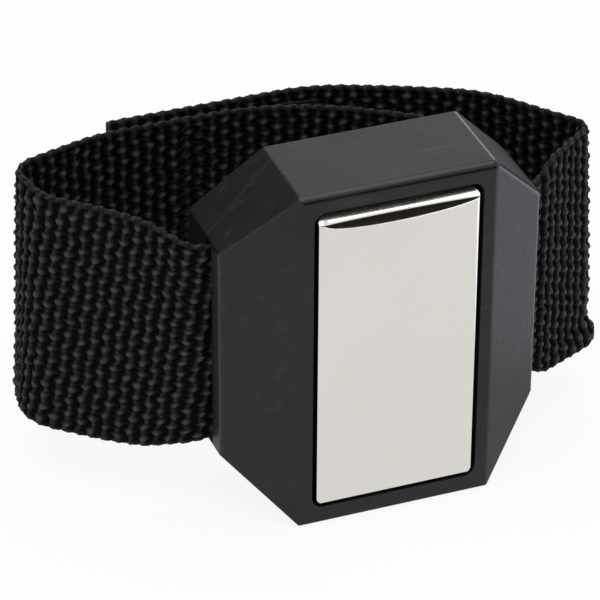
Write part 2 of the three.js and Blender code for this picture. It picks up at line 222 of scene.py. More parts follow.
steel = {
    "colour": (0.70, 0.68, 0.64),
    "haze": 55,
    "hazed": 0.97,
    "brush": 900,
    "brushStretch": (1, 1, 0.03),
    "roughness": (0.08, 0.13),
    "rolled": 0.3,
    "rollFrom": (0.0522, 0.0531),
    "bump": (0.04, 0.00001),
}


def polishedSteel():
    material, shader = newMaterial("polishedSteel")
    place = addNode(material, "ShaderNodeTexCoord")
    brushed = noiseOn(material, place, "Object", steel["brush"], 3, steel["brushStretch"])
    low, high = steel["roughness"]
    rough = ramp(material, brushed, "Fac", [(0.3, grey(low)), (0.7, grey(high))])
    # the rolled top edge is less polished
    split = addNode(material, "ShaderNodeSeparateXYZ")
    start, end = steel["rollFrom"]
    rise = {"From Min": start, "From Max": end, "To Max": steel["rolled"]}
    duller = addNode(material, "ShaderNodeMapRange", rise)
    total = addNode(material, "ShaderNodeMath", operation="ADD")
    link(material, place, "Object", split, "Vector")
    link(material, split, "Z", duller, "Value")
    link(material, rough, "Color", total, 0)
    link(material, duller, "Result", total, 1)
    link(material, total, "Value", shader, "Roughness")
    haze = noiseOn(material, place, "Object", steel["haze"], 2)
    shade = [channel * steel["hazed"] for channel in steel["colour"]]
    colour = ramp(material, haze, "Fac", [(0.3, shade), (0.7, steel["colour"])])
    link(material, colour, "Color", shader, "Base Color")
    bumpFrom(material, shader, brushed, "Fac", *steel["bump"])
    shader.inputs["Metallic"].default_value = 1
    return material


zinc = {
    "dark": (0.42, 0.42, 0.43),
    "light": (0.58, 0.58, 0.58),
    "roughness": (0.3, 0.45),
    "spangle": 700,
    "bump": (0.1, 0.00003),
}


def zincSteel():
    material, shader = newMaterial("zincSteel")
    place = addNode(material, "ShaderNodeTexCoord")
    spangle = noiseOn(material, place, "Object", zinc["spangle"], 4)
    colour = ramp(material, spangle, "Fac", [(0.3, zinc["dark"]), (0.7, zinc["light"])])
    link(material, colour, "Color", shader, "Base Color")
    low, high = zinc["roughness"]
    rough = ramp(material, spangle, "Fac", [(0.3, grey(low)), (0.7, grey(high))])
    link(material, rough, "Color", shader, "Roughness")
    bumpFrom(material, shader, spangle, "Fac", *zinc["bump"])
    shader.inputs["Metallic"].default_value = 1
    return material


ferrite = {"shades": (0.025, 0.055), "speckle": 1800, "roughness": 0.7, "bump": (0.3, 0.00005)}


def sinteredFerrite():
    material, shader = newMaterial("sinteredFerrite")
    place = addNode(material, "ShaderNodeTexCoord")
    speckle = noiseOn(material, place, "Object", ferrite["speckle"], 5)
    dark, light = ferrite["shades"]
    colour = ramp(material, speckle, "Fac", [(0.3, grey(dark)), (0.7, grey(light))])
    link(material, colour, "Color", shader, "Base Color")
    bumpFrom(material, shader, speckle, "Fac", *ferrite["bump"])
    shader.inputs["Roughness"].default_value = ferrite["roughness"]
    return material


# the strap's yarns: colour and gloss by height in the weave, as painted shade in the hollows and painted
# highlight on the crests, filaments along each yarn
yarn = {
    # colour by height in the weave: painted shade in the hollows, painted highlight on the crests
    "shades": [(0.1, 0.006), (0.4, 0.0125), (0.6, 0.023), (0.85, 0.055), (1, 0.06)],
    "uneven": 0.15,
    "gloss": 0.12,
    "roughness": (0.5, 0.68),
    "fuzz": 1.3,
    "filaments": 1.0,
    "filamentStretch": (0.7, 9, 1),
    "bump": (0.5, 0.00006),
}


def wovenYarn():
    material, shader = newMaterial("wovenYarn")
    height = addNode(material, "ShaderNodeAttribute", attribute_name="crest")
    place = addNode(material, "ShaderNodeAttribute", attribute_name="weaveAt")
    fuzz = noiseOn(material, place, "Vector", yarn["fuzz"], 4)
    most = yarn["uneven"]
    uneven = {"From Min": 0.3, "From Max": 0.7, "To Min": -most, "To Max": most}
    spread = addNode(material, "ShaderNodeMapRange", uneven)
    link(material, fuzz, "Fac", spread, "Value")
    shade = addNode(material, "ShaderNodeMath", operation="ADD")
    link(material, height, "Fac", shade, 0)
    link(material, spread, "Result", shade, 1)
    # painted shade and highlight: the ramp darkens the low parts of the weave where shade falls and lightens
    # the crests that the light from above reaches
    shades = [(stop, grey(level)) for stop, level in yarn["shades"]]
    colour = ramp(material, shade, "Value", shades)
    link(material, colour, "Color", shader, "Base Color")
    # the gloss is painted down in the hollows too, as painted shade
    gloss = ramp(material, shade, "Value", [(0.15, grey(0)), (0.8, grey(yarn["gloss"]))])
    link(material, gloss, "Color", shader, "Specular IOR Level")
    filaments = noiseOn(material, place, "Vector", yarn["filaments"], 2, yarn["filamentStretch"])
    low, high = yarn["roughness"]
    rough = ramp(material, filaments, "Fac", [(0.35, grey(low)), (0.65, grey(high))])
    link(material, rough, "Color", shader, "Roughness")
    bumpFrom(material, shader, filaments, "Fac", *yarn["bump"])
    return material


nylon = {"roughness": 0.55, "bump": (0.4, 0.00004)}


def nylonFinish(name, dark, light, scale, gloss, stretch=(1, 1, 1)):
    material, shader = newMaterial(name)
    place = addNode(material, "ShaderNodeTexCoord")
    fibres = noiseOn(material, place, "Object", scale, 3, stretch)
    colour = ramp(material, fibres, "Fac", [(0.3, grey(dark)), (0.7, grey(light))])
    link(material, colour, "Color", shader, "Base Color")
    bumpFrom(material, shader, fibres, "Fac", *nylon["bump"])
    shader.inputs["Roughness"].default_value = nylon["roughness"]
    shader.inputs["Specular IOR Level"].default_value = gloss
    return material


plasticFinish = mouldedPlastic()
steelFinish = polishedSteel()
zincFinish = zincSteel()
ferriteFinish = sinteredFerrite()
webbingFinish = wovenYarn()
threadFinish = nylonFinish("sewingThread", 0.004, 0.01, scale=2500, gloss=0.12, stretch=(1, 1, 0.3))
hookFinish = nylonFinish("hookNylon", 0.006, 0.012, scale=1500, gloss=0.4)
pileFinish = nylonFinish("loopPile", 0.005, 0.014, scale=3500, gloss=0.15)
print("finishes made")

# housing: the two moulded halves, pressed together, with sharp edges eased and outside edges worn
shells = {
    "softEdge": 0.16,
    "sharpAngle": 50,
    "shadeAngle": 40,
    "flatAngle": 0.4,
    "flatArea": 25,
    "weld": 0.004,
    "cutWeld": 0.002,
    "onPlane": 0.01,
    "onSurface": 0.03,
    "lowestTilt": -0.1,
    "fullBend": 0.05,
    "coreRounds": 40,
    "mouldRadius": 0.5,
    "wornRadius": 1.2,
    "cuts": (0.04, 0.09, 0.15, 0.22, 0.3, 0.4, 0.6, 0.8, 1.0, 1.2),
    "seamHighlight": 0.26,
    "seam": (4.45, 4.55),
    "pressed": (4.49, 4.51),
    "seamTouch": 0.005,
}


def intoCore(points, planes, radius):
    # nearest points of the block that the planes bound, drawn in by the radius
    core = points.copy()
    held = [np.zeros_like(points) for _ in planes]
    for _ in range(shells["coreRounds"]):
        for index, (normal, level) in enumerate(planes):
            free = core + held[index]
            over = np.maximum(0, free @ normal - (level - radius))
            core = free - over[:, None] * normal
            held[index] = free - core
    return core


def cutAlong(bm, through, normal):
    everything = bm.verts[:] + bm.edges[:] + bm.faces[:]
    weld = shells["cutWeld"] * mm
    bmesh.ops.bisect_plane(bm, geom=everything, dist=weld, plane_co=through, plane_no=normal)


def wearEdges(bm, half):
    # the outside edges are worn rounder than the mould left them, all but those below,
    # and the seam line is marked for a painted highlight, painted in the lighter scuff colour where the
    # parting line catches light
    seamY = shells["pressed"][half]
    places = np.array([vert.co for vert in bm.verts]) / mm
    planes = {}
    for face in bm.faces:
        normal = np.array(face.normal)
        level = float((places @ normal).max())
        first = places[face.verts[0].index]
        outside = level - float(normal @ first) < shells["onPlane"]
        large = face.calc_area() > shells["flatArea"] * mm * mm
        atSeam = abs(normal[1]) > 0.99 and abs(first[1] - seamY) < shells["onPlane"]
        if outside and large and normal[2] > shells["lowestTilt"] and not atSeam:
            planes[tuple(np.round(normal, 2))] = (normal, level)
    planes = list(planes.values())
    for normal, level in planes:
        for depth in shells["cuts"]:
            cutAlong(bm, normal * (level - depth) * mm, normal)
    # a cut beside the seam bounds the band of painted seam highlight
    lineY = seamY + (2 * half - 1) * shells["seamHighlight"]
    cutAlong(bm, (0, lineY * mm, 0), (0, 1, 0))
    places = np.array([vert.co for vert in bm.verts]) / mm
    depth = np.linalg.norm(places - intoCore(places, planes, shells["mouldRadius"]), axis=1)
    core = intoCore(places, planes, shells["wornRadius"])
    away = places - core
    away /= np.maximum(np.linalg.norm(away, axis=1, keepdims=True), 1e-6)
    worn = core + away * shells["wornRadius"]
    bend = 1 - np.max([away @ normal for normal, _ in planes], axis=0)
    wear = bm.verts.layers.float.new("wear")
    seamHighlight = bm.verts.layers.float.new("seamHighlight")
    shares = np.clip(bend / shells["fullBend"], 0, 1)
    for vert, place, reach, share in zip(bm.verts, worn.tolist(), depth, shares):
        if abs(reach - shells["mouldRadius"]) < shells["onSurface"]:
            vert.co = Vector(place) * mm
            vert[wear] = share
            vert[seamHighlight] = abs(place[1] - seamY) < shells["seamTouch"]


def dressShell(node, name, half):
    bm = bmesh.new()
    bm.from_mesh(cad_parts[node].data)
    bmesh.ops.remove_doubles(bm, verts=bm.verts, dist=shells["weld"] * mm)
    flat = math.radians(shells["flatAngle"])
    bmesh.ops.dissolve_limit(bm, angle_limit=flat, verts=bm.verts, edges=bm.edges)
    seamY = shells["seam"][half] * mm
    onSeam = {vert for vert in bm.verts if abs(vert.co.y - seamY) < shells["onPlane"] * mm}
    for vert in onSeam:
        vert.co.y = shells["pressed"][half] * mm
    sharp = math.radians(shells["sharpAngle"])
    edges = [edge for edge in bm.edges if edge.is_manifold and edge.calc_face_angle(0) > sharp]
    edges = [edge for edge in edges if not onSeam.issuperset(edge.verts)]
    bmesh.ops.bevel(
        bm,
        geom=edges,
        offset=shells["softEdge"] * mm,
        offset_type="OFFSET",
        affect="EDGES",
        segments=2,
        profile=0.5,
        material=-1,
        clamp_overlap=True,
    )
    wearEdges(bm, half)
    print(name, len(bm.faces), "faces")
    piece = addPiece(name, bm, plasticFinish, shells["shadeAngle"])
    weighted = piece.modifiers.new("flatFaces", "WEIGHTED_NORMAL")
    weighted.keep_sharp = True
    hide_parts(node)
    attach(piece, "housing")


dressShell("front_shell", "shell_front", 0)
dressShell("back_cover", "shell_back", 1)
print("housing dressed")

# face plate: its top edge is rolled back over a shallow dome, its other edges are eased
plate = {
    "width": 25.0,
    "bottom": 3.5,
    "top": 53.05,
    "front": -8.15,
    "thickness": 0.8,
    "corner": 1.0,
    "lip": 0.95,
    "lipTilt": ((0, 0.25, 0.45, 0.95), (80, 60, 53, 51)),
    "dome": 1.6,
    "domeLeast": 0.01,
    "domeFrom": 0.035,
    "domeSkew": 0.85,
    "domeShape": 0.55,
    "domeTilt": (25, 10),
    "reach": 4,
    "reachSteps": 401,
    "ease": 0.35,
    "columns": 60,
    "rows": 150,
    "crowding": 1.8,
    "shadeAngle": 45,
}


def topFall(fromEdge, across):
    # how far the sheet falls back, at a distance from its top edge and a share across its width
    reach = np.linspace(0, plate["reach"], plate["reachSteps"])
    skewed = max(0, (across - plate["domeFrom"]) / (1 - plate["domeFrom"])) ** plate["domeSkew"]
    arch = (4 * skewed * (1 - skewed)) ** plate["domeShape"]
    dome = max(plate["dome"] * arch, plate["domeLeast"])
    upper, lower = plate["domeTilt"]
    lipTilt = np.interp(reach, *plate["lipTilt"])
    past = (reach - plate["lip"]) / dome
    tilt = np.where(past < 0, lipTilt, np.where(past < 1, upper + (lower - upper) * past, 0))
    fall = np.cumsum(np.tan(np.radians(tilt))) * (reach[1] - reach[0])
    return float(np.interp(fromEdge, reach, fall[-1] - fall))


def easedFall(fromEdge):
    into = max(0, plate["ease"] - fromEdge)
    return plate["ease"] - math.sqrt(max(0, plate["ease"] ** 2 - into ** 2))


def crowded(share):
    # moves the grid's rows and columns towards its edges
    return math.copysign(1 - (1 - abs(2 * share)) ** plate["crowding"], share)


def addPlate():
    bm = bmesh.new()
    bmesh.ops.create_grid(bm, x_segments=plate["columns"], y_segments=plate["rows"], size=0.5)
    halfHeight = (plate["top"] - plate["bottom"]) / 2
    for vert in bm.verts:
        up = crowded(vert.co.y)
        side = crowded(vert.co.x)
        fromEnd = halfHeight * (1 - abs(up))
        corner = plate["corner"]
        into = max(0, corner - fromEnd)
        halfWidth = plate["width"] / 2 - corner + math.sqrt(corner ** 2 - into ** 2)
        fall = topFall(fromEnd, (side + 1) / 2) if up > 0 else easedFall(fromEnd)
        fall = max(fall, easedFall(halfWidth * (1 - abs(side))))
        z = plate["bottom"] + halfHeight * (1 + up)
        vert.co = Vector((halfWidth * side, plate["front"] + fall, z)) * mm
    rim = [edge for edge in bm.edges if edge.is_boundary]
    turned = bmesh.ops.extrude_edge_only(bm, edges=rim)
    back = [vert for vert in turned["geom"] if isinstance(vert, bmesh.types.BMVert)]
    bmesh.ops.translate(bm, verts=back, vec=(0, plate["thickness"] * mm, 0))
    bmesh.ops.holes_fill(bm, edges=[edge for edge in bm.edges if edge.is_boundary])
    bmesh.ops.recalc_face_normals(bm, faces=bm.faces)
    piece = addPiece("plate_face", bm, steelFinish, plate["shadeAngle"])
    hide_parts("face_plate")
    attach(piece, "housing")


addPlate()
print("plate rolled")

for node in ("magnet_upper", "magnet_lower"):
    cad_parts[node].data.materials.clear()
    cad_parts[node].data.materials.append(ferriteFinish)
for node in ("keeper_plate", "cover_screw_1", "cover_screw_2", "cover_screw_3", "cover_screw_4"):
    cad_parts[node].data.materials.clear()
    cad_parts[node].data.materials.append(zincFinish)

# strap: one length of plain woven webbing, laid along straights and left-hand arcs
# in plan, whose corners are x, y and radius
strap = {
    "width": 38.5,
    "neck": 34.0,
    "thickness": 1.4,
    "middleZ": 28.5,
    "wallX": 25.25,
    "channelY": 3.2,
    "loopDepth": 32.3,
    "pinchRun": (11.0, 6.0),
    "flare": (1.9, 0.9),
    "flareRun": 18.0,
    "curl": ((0.55, 0.78, 0.93, 1), (0, -0.4, 1, 0.85)),
    "rightEnd": (14, 40),
    "leftCurl": 0.22,
    "leftEnd": (36, 47),
    "leftEdge": (0.5, 0.9),
    "droop": (0.5, 0.6),
    "backDroop": 0.2,
    "ends": 38,
    "pick": 2.05,
    "skew": 0.14,
    "drift": 0.07,
    "slowDrift": (0.9, 0.31),
    "fastDrift": (2.3, -0.47, 1.7),
    "chance": (12.99, 78.23, 3.7, 437.58),
    "crimp": 0.3,
    "crimpShape": 1.6,
    "crimpVaries": (0.75, 0.5),
    "yarnFall": 1.2,
    "dip": 0.27,
    "pickRise": 0.1,
    "pickSink": 0.05,
    "pickFall": 1.2,
    "sink": 0.13,
    "selvage": 0.1,
    "rope": (1.9, 0.5, 2.3),
    "ropeSink": 0.05,
    "crestFrom": 0.35,
    "crestRise": 0.65,
    "crestMost": 0.9,
    "melt": 1.3,
    "meltSink": 0.1,
    "meltThin": 0.6,
    "meltCrest": (1.2, 0.6),
    "endSteps": 4,
    "edgeSteps": 6,
    "step": 0.34,
    "corners": [
        (17, 24, 0),
        (-1.6, 35.5, 45),
        (-31, 35.5, 30),
        (-46.55, 31.3, 5),
        (-46.55, 20.5, 8),
        (-27.95, 3.2, 5),
        (26.95, 3.2, 5),
        (41.25, 13.3, 3.3),
        (29, 28.05, 22),
        (4, 38.35, 30),
        (-29, 38.35, 0),
    ],
}


def layRoute(corners):
    # legs of the route: start, heading, length and curvature
    legs = []
    places = [Vector(corner[:2]) for corner in corners]
    at = places[0]
    for before, here, after, corner in zip(places, places[1:], places[2:], corners[1:]):
        inward = (here - before).normalized()
        onward = (after - here).normalized()
        turn = math.acos(max(-1, min(1, inward.dot(onward))))
        reach = corner[2] * math.tan(turn / 2)
        bend = here - inward * reach
        legs.append((at, inward, (bend - at).length, 0))
        legs.append((bend, inward, corner[2] * turn, 1 / corner[2]))
        at = here + onward * reach
    legs.append((at, onward, (places[-1] - at).length, 0))
    return legs


strapLegs = layRoute(strap["corners"])
legStarts = np.concatenate([[0], np.cumsum([leg[2] for leg in strapLegs])])
strapLength = legStarts[-1]
print("strap length", round(float(strapLength), 2), "mm")


def strapAt(s):
    # middle line of the strap: place and heading at lengths along it
    s = np.asarray(s, float)
    x, y, tx, ty = (np.zeros_like(s) for _ in range(4))
    which = np.clip(np.searchsorted(legStarts, s, side="right") - 1, 0, len(strapLegs) - 1)
    for index, (start, heading, length, curve) in enumerate(strapLegs):
        on = which == index
        run = s[on] - legStarts[index]
        if curve == 0:
            x[on] = start.x + heading.x * run
            y[on] = start.y + heading.y * run
            tx[on] = heading.x
            ty[on] = heading.y
        else:
            first = math.atan2(heading.y, heading.x)
            angle = first + curve * run
            x[on] = start.x + (np.sin(angle) - math.sin(first)) / curve
            y[on] = start.y - (np.cos(angle) - math.cos(first)) / curve
            tx[on] = np.cos(angle)
            ty[on] = np.sin(angle)
    return x, y, tx, ty


def middleOfStraight(number):
    return (legStarts[2 * number] + legStarts[2 * number + 1]) / 2


def strapSurface(s, up, out):
    # a point of the strap: length along it, share of its half width, distance out from its middle
    x, y, tx, ty = strapAt(s)
    beyond = np.hypot(np.maximum(0, np.abs(x) - strap["wallX"]), y - strap["channelY"])
    spread = smoothStep(beyond, 0, np.where(x < 0, *strap["pinchRun"]))
    half = (strap["neck"] + (strap["width"] - strap["neck"]) * spread) / 2
    level = smoothStep(y - strap["channelY"], strap["loopDepth"] / 2, strap["loopDepth"])
    left, right = strap["flare"]
    flare = left + (right - left) * smoothStep(x, -strap["wallX"], strap["wallX"])
    lean = flare * smoothStep(beyond, 0, strap["flareRun"]) * (1 - level)
    # the right end hangs a little, and the lower edge curls outwards at both ends
    nearRight = smoothStep(x, *strap["rightEnd"]) * smoothStep(beyond, 0, strap["flareRun"])
    curl = nearRight * np.interp(-up, *strap["curl"])
    nearLeft = strap["leftCurl"] * smoothStep(-x, *strap["leftEnd"])
    curl = curl + nearLeft * smoothStep(-up, *strap["leftEdge"])
    outward = out - up * lean + curl * (1 - level)
    low, high = strap["droop"]
    droop = nearRight * (low + (high - low) * np.maximum(0, up)) + strap["backDroop"] * level
    z = strap["middleZ"] + up * half - droop
    return np.stack([x + ty * outward, y - tx * outward, z], -1)


def weaveHeight(s, up, side):
    # plain weave on one face: every end goes over one pick and under the next, where the pick shows
    z = up * strap["width"] / 2
    pastLeft = smoothStep(s, legStarts[6], legStarts[8])
    onArm = pastLeft * (1 - smoothStep(s, legStarts[10], legStarts[11]))
    along = (s - strap["skew"] * onArm * z) / strap["pick"]
    acrossSlow, alongSlow = strap["slowDrift"]
    acrossFast, alongFast, faceShift = strap["fastDrift"]
    slow = np.sin(acrossSlow * z + alongSlow * s)
    fast = np.sin(acrossFast * z + alongFast * s + faceShift * side)
    along = along + strap["drift"] * (slow + fast)
    number = (up + 1) * strap["ends"] / 2
    end = np.floor(number)
    off = number - end - 0.5
    column = np.round(along)
    # no two crossings are quite alike
    byPick, byEnd, byFace, spread = strap["chance"]
    chance = np.sin(byPick * column + byEnd * end + byFace * side) * spread
    chance = chance - np.floor(chance)
    off = off + strap["drift"] * (2 * chance - 1)
    wave = np.cos(math.pi * (along + end)) * side
    least, more = strap["crimpVaries"]
    rise = np.sign(wave) * np.abs(wave) ** strap["crimpShape"]
    rise = rise * strap["crimp"] * (least + more * chance)
    dip = strap["dip"] * np.sin(math.pi * along) ** 2
    own = rise - strap["yarnFall"] * off ** 2
    above = -rise - strap["yarnFall"] * (off - 1) ** 2
    below = -rise - strap["yarnFall"] * (off + 1) ** 2
    fromPick = (along - column) * strap["pick"]
    pick = -np.cos(math.pi * (column + end)) * side * np.cos(math.pi * off) * strap["pickRise"]
    pick = pick - strap["pickSink"] - strap["pickFall"] * fromPick ** 2
    return np.maximum(np.maximum(own, np.maximum(above, below)) - dip, pick)


def sectionRing():
    # one turn round the strap's section: share across the flats, lift at the edges, side of the face
    flat = np.linspace(-1, 1, (strap["ends"] - 2) * strap["endSteps"] + 1)
    angle = np.linspace(0.5, -0.5, strap["edgeSteps"] + 1)[1:-1] * math.pi
    zero, one, edge = np.zeros_like(flat), np.ones_like(flat), np.ones_like(angle)
    across = np.concatenate([flat, edge, flat[::-1], -edge, flat[:1]])
    lift = np.concatenate([zero, np.cos(angle), zero, -np.cos(angle), zero[:1]])
    side = np.concatenate([one, np.sin(angle), -one, -np.sin(angle), one[:1]])
    return across, lift, side


def wovenFace(s, freeEnds):
    # the woven surface at lengths along the strap: places, height in the weave, and place in the weave
    across, lift, side = (ring[None, :] for ring in sectionRing())
    s = s[:, None] + 0 * across
    edge = 2 / strap["ends"]  # the outermost end at each side turns round the edge
    up = across * (1 - edge) + lift * edge
    height = weaveHeight(s, up, np.sign(side) + (side == 0))
    turns = 2 * math.pi * s / strap["pick"]
    roundEdge, second, faster = strap["rope"]
    rope = np.cos(turns + roundEdge * side) + second * np.cos(faster * turns)
    height = np.where(lift == 0, height, strap["selvage"] * rope - strap["ropeSink"])
    # a free end is cut hot: its weave is melted flat and its edge drawn in
    melt = np.ones_like(s)
    for end in freeEnds:
        melt = np.minimum(melt, smoothStep(np.abs(s - end), 0, strap["melt"]))
    height = height * melt - strap["meltSink"] * (1 - melt)
    drawnIn = strap["meltThin"] + (1 - strap["meltThin"]) * melt
    out = side * (strap["thickness"] / 2 - strap["sink"]) * drawnIn + side * height
    up = up + lift * height * edge
    # the crest value sets the yarn's painted shade and painted highlight; a melted end is coloured like a
    # crest
    crest = np.clip((height + strap["crestFrom"]) / strap["crestRise"], 0, strap["crestMost"])
    atCut, fade = strap["meltCrest"]
    crest = np.where(melt < 0.5, atCut - fade * melt, crest)
    weaveAt = np.stack([s, up * strap["width"] / 2, side + 0 * s], -1)
    return strapSurface(s, up, out), crest, weaveAt


def layTube(points, layers):
    # closes rows of rings into a tube with filled ends, and keeps values on its points
    rows, columns = points.shape[:2]
    bm = bmesh.new()
    bmesh.ops.create_grid(bm, x_segments=columns - 1, y_segments=rows - 1, size=0.5)
    kept = []
    for name, values in layers.items():
        kinds = bm.verts.layers.float_vector if values.ndim == 3 else bm.verts.layers.float
        kept.append((kinds.new(name), values.reshape(rows * columns, *values.shape[2:]).tolist()))
    seam = []
    for index, (vert, place) in enumerate(zip(bm.verts, (points * mm).reshape(-1, 3).tolist())):
        vert.co = place
        for layer, values in kept:
            vert[layer] = values[index]
        if index % columns in (0, columns - 1):
            seam.append(vert)
    bmesh.ops.remove_doubles(bm, verts=seam, dist=0.0005 * mm)
    bmesh.ops.holes_fill(bm, edges=[edge for edge in bm.edges if edge.is_boundary])
    bmesh.ops.recalc_face_normals(bm, faces=bm.faces)
    return bm


def keepNormals(mesh):
    # shades by the whole strap's surface, so that two stretches meet with no line,
    # while filled ends stay flat
    slopes = np.zeros(3 * len(mesh.vertices))
    mesh.attributes["slope"].data.foreach_get("vector", slopes)
    corners = np.zeros(len(mesh.loops), int)
    mesh.loops.foreach_get("vertex_index", corners)
    normals = slopes.reshape(-1, 3)[corners]
    for face in mesh.polygons:
        if face.loop_total > 4:
            normals[face.loop_start:face.loop_start + face.loop_total] = face.normal
    mesh.normals_split_custom_set(normals.tolist())
    mesh.attributes.remove(mesh.attributes["slope"])


def weaveStrap(name, first, last, freeEnds=()):
    stations = np.linspace(first, last, round((last - first) / strap["step"]) + 1)
    points, crest, weaveAt = wovenFace(stations, freeEnds)
    nearby = 0.05
    along = wovenFace(stations + nearby, freeEnds)[0] - wovenFace(stations - nearby, freeEnds)[0]
    ring = points[:, :-1]
    around = np.roll(ring, -1, 1) - np.roll(ring, 1, 1)
    around = np.concatenate([around, around[:, :1]], 1)
    slope = np.cross(along, around)
    slope /= np.maximum(np.linalg.norm(slope, axis=-1, keepdims=True), 1e-9)
    bm = layTube(points, {"weaveAt": weaveAt, "crest": crest, "slope": slope})
    piece = addPiece(name, bm, webbingFinish)
    keepNormals(piece.data)
    return piece


def planPoint(x, y):
    return Vector((x, y, strap["middleZ"])) * mm


leftArm = middleOfStraight(4)
centre = middleOfStraight(5)
rightArm = middleOfStraight(6)
rightBack = middleOfStraight(7)

piece = weaveStrap("webbing_left_back", 0, leftArm, [0])
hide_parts("strap_left_back", "strap_left_arm")
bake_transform(piece, "left_arm", "left_back", planPoint(-51.25, 20.95), planPoint(-46.75, 28.75))

piece = weaveStrap("webbing_left_root", leftArm, centre)
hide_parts("strap_centre")
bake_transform(piece, "housing", "left_arm", planPoint(-25.3, 3.2), planPoint(-28.7, 3.2))

piece = weaveStrap("webbing_right_root", centre, rightArm)
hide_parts("strap_centre")
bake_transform(piece, "housing", "right_arm", planPoint(25.3, 3.2), planPoint(28.7, 3.2))

piece = weaveStrap("webbing_right_bend", rightArm, rightBack)
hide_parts("strap_right_arm", "strap_right_back")
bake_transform(piece, "right_arm", "right_back", planPoint(40.95, 9.5), planPoint(41.6, 17))

piece = weaveStrap("webbing_flap", rightBack, strapLength, [strapLength])
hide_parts("strap_flap")
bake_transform(piece, "right_back", "flap", planPoint(11, 37.5), planPoint(4.8, 37.5))
print("strap woven")

# closure tapes: a thin backing with rows of hooks under the flap, and with loose loops on the inner end
tapes = {
    "width": 34.5,
    "near": 0.85,
    "backing": 0.2,
    "step": 0.8,
    "columns": 18,
    "flap": 36,
    "margin": 2,
    "hook": {"stem": 0.1, "radius": 0.09, "turn": 160, "thread": 0.045},
    "hookPitch": (1.0, 0.9),
    "hookRows": (-16.4, 16.5),
    "hookInset": 0.6,
    "hookStagger": 0.5,
    "loopLength": 44,
    "loop": {"stem": 0.02, "radius": 0.16, "turn": 180, "thread": 0.03},
    "loops": 1800,
    "loopSeed": 7,
    "loopInset": 0.4,
    "loopHalf": 16.6,
    "loopScale": (0.75, 1.2),
    "shadeAngle": 60,
}


def bentThread(stem, radius, turn, thread):
    # a short upright stem that bends over, as a mesh to repeat
    bm = bmesh.new()
    bmesh.ops.create_circle(bm, segments=4, radius=thread * mm, cap_ends=False)
    raised = bmesh.ops.extrude_edge_only(bm, edges=bm.edges[:])
    top = [item for item in raised["geom"] if isinstance(item, bmesh.types.BMVert)]
    bmesh.ops.translate(bm, verts=top, vec=(0, 0, stem * mm))
    bmesh.ops.spin(
        bm,
        geom=[item for item in raised["geom"] if not isinstance(item, bmesh.types.BMFace)],
        cent=(radius * mm, 0, stem * mm),
        axis=(0, 1, 0),
        angle=math.radians(turn),
        steps=5,
    )
    bmesh.ops.holes_fill(bm, edges=[edge for edge in bm.edges if edge.is_boundary])
    bmesh.ops.recalc_face_normals(bm, faces=bm.faces)
    mesh = bpy.data.meshes.new("bentThread")
    bm.to_mesh(mesh)
    bm.free()
    return mesh


def strapFrame(s, up, out, side):
    # a frame on the strap: x along it, y up or down, z away from its middle on one side
    s, up, out = (np.asarray(value, float) for value in (s, up, out))
    steps = ((0, 0), (0.05, 0), (0, 0.01))
    place, ahead, higher = (strapSurface(s + a, up + b, out) for a, b in steps)
    along = Vector(ahead - place).normalized()
    across = Vector(higher - place).normalized() * side
    turn = Matrix((along, across, along.cross(across))).transposed().to_4x4()
    return Matrix.Translation(Vector(place) * mm) @ turn


def repeat(bm, mesh, frames):
    for placed in frames:
        mesh.transform(placed)
        bm.from_mesh(mesh)
        mesh.transform(placed.inverted())


def tapeBacking(first, last, side):
    stations = np.linspace(first, last, round((last - first) / tapes["step"]) + 1)[:, None]
    flat = np.linspace(-1, 1, tapes["columns"])
    across = np.concatenate([flat, flat[::-1], flat[:1]])[None, :]
    across = across * tapes["width"] / strap["width"]
    near, far = side * tapes["near"], side * (tapes["near"] + tapes["backing"])
    out = np.concatenate([far + 0 * flat, near + 0 * flat, [far]])[None, :]
    points = strapSurface(stations + 0 * across, across + 0 * stations, out + 0 * stations)
    return layTube(points, {})


def addHooks():
    first = strapLength - tapes["flap"] + tapes["margin"]
    last = strapLength - tapes["margin"]
    bm = tapeBacking(first, last, -1)
    hook = bentThread(**tapes["hook"])
    out = -(tapes["near"] + tapes["backing"])
    longStep, acrossStep = tapes["hookPitch"]
    inset = tapes["hookInset"]
    places = []
    for row, z in enumerate(np.arange(*tapes["hookRows"], acrossStep)):
        start = first + inset + tapes["hookStagger"] * (row % 2)
        for s in np.arange(start, last - inset, longStep):
            places.append(strapFrame(s, 2 * z / strap["width"], out, -1))
    repeat(bm, hook, places)
    bpy.data.meshes.remove(hook)
    piece = addPiece("tape_hooks", bm, hookFinish, tapes["shadeAngle"])
    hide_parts("hook_tape")
    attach(piece, "flap")


def addLoops():
    last = legStarts[3]
    first = last - tapes["loopLength"]
    bm = tapeBacking(first, last, 1)
    loop = bentThread(**tapes["loop"])
    chance = np.random.default_rng(tapes["loopSeed"])
    out = tapes["near"] + tapes["backing"]
    inset = tapes["loopInset"]
    half = tapes["loopHalf"]
    places = []
    for _ in range(tapes["loops"]):
        s = chance.uniform(first + inset, last - inset)
        up = chance.uniform(-half, half) * 2 / strap["width"]
        turn = Matrix.Rotation(chance.uniform(0, 2 * math.pi), 4, "Z")
        scale = Matrix.Scale(chance.uniform(*tapes["loopScale"]), 4)
        places.append(strapFrame(s, up, out, 1) @ turn @ scale)
    repeat(bm, loop, places)
    bpy.data.meshes.remove(loop)
    piece = addPiece("tape_loops", bm, pileFinish, tapes["shadeAngle"])
    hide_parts("loop_tape")
    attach(piece, "left_back")


addHooks()
addLoops()
print("tapes laid")

